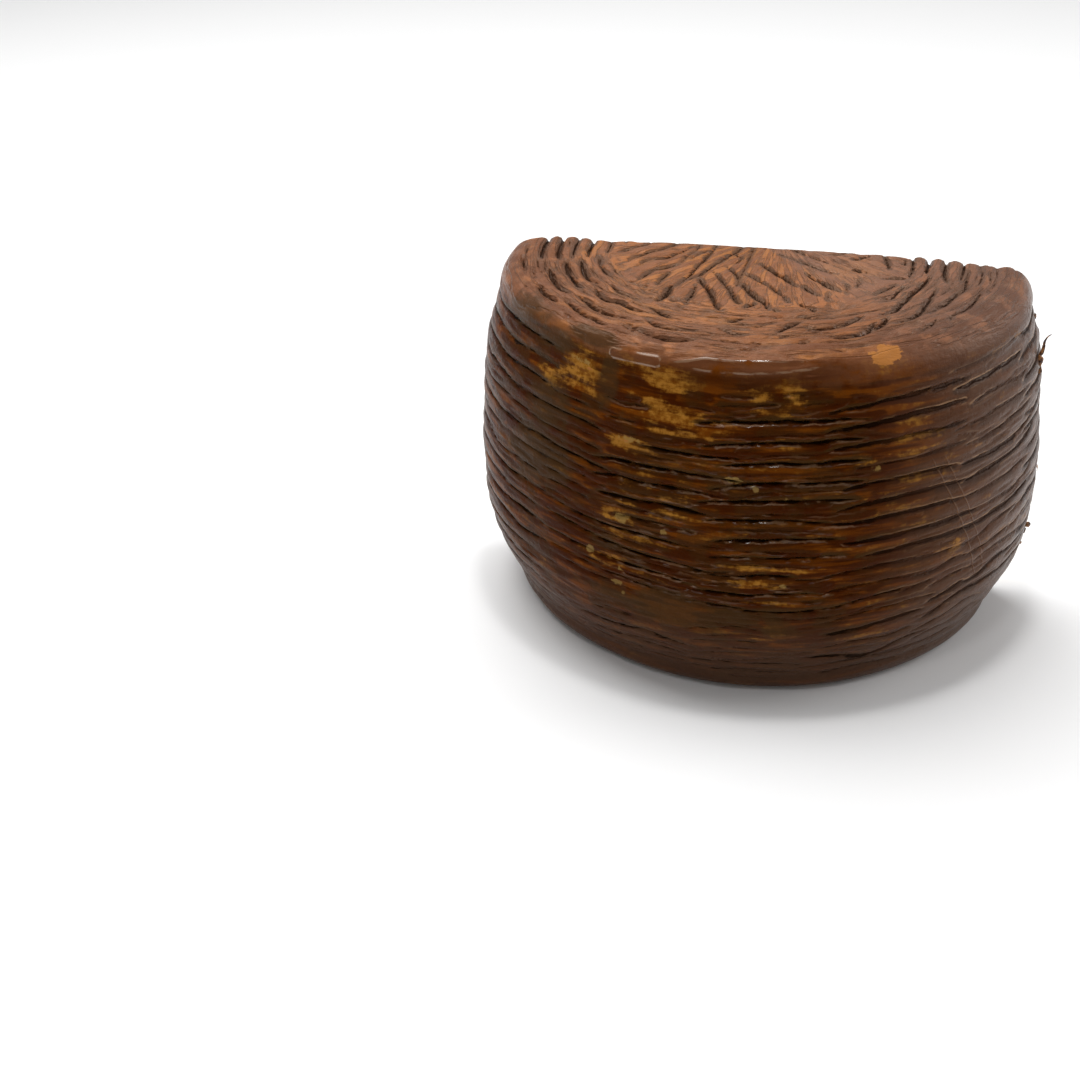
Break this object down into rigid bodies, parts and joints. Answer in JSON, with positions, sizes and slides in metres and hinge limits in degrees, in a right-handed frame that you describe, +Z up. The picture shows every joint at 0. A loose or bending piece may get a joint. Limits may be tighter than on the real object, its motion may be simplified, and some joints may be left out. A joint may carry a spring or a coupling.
{
  "type": "half wheel of pecorino cheese",
  "caption": "Half of a basket-moulded hard cheese wheel, cut through the middle, with a ribbed dark rind and a flat cut face with small eyes.",
  "frame": {"origin": "middle of the bounding box's bottom, on the face that the half wheel stands on", "axes": "+Z up along the wheel's axis, X along the cut, +Y out of the cut face, -Y out of the round rind side"},
  "size_m": [0.201, 0.1042, 0.1267],
  "materials": {
    "rind": "oiled dark brown rind, ribbed by a wicker basket, with amber worn patches; the cut face is matt ivory paste"
  },
  "bodies": {
    "root": {"half_wheel": "rind"}
  },
  "joints": []
}
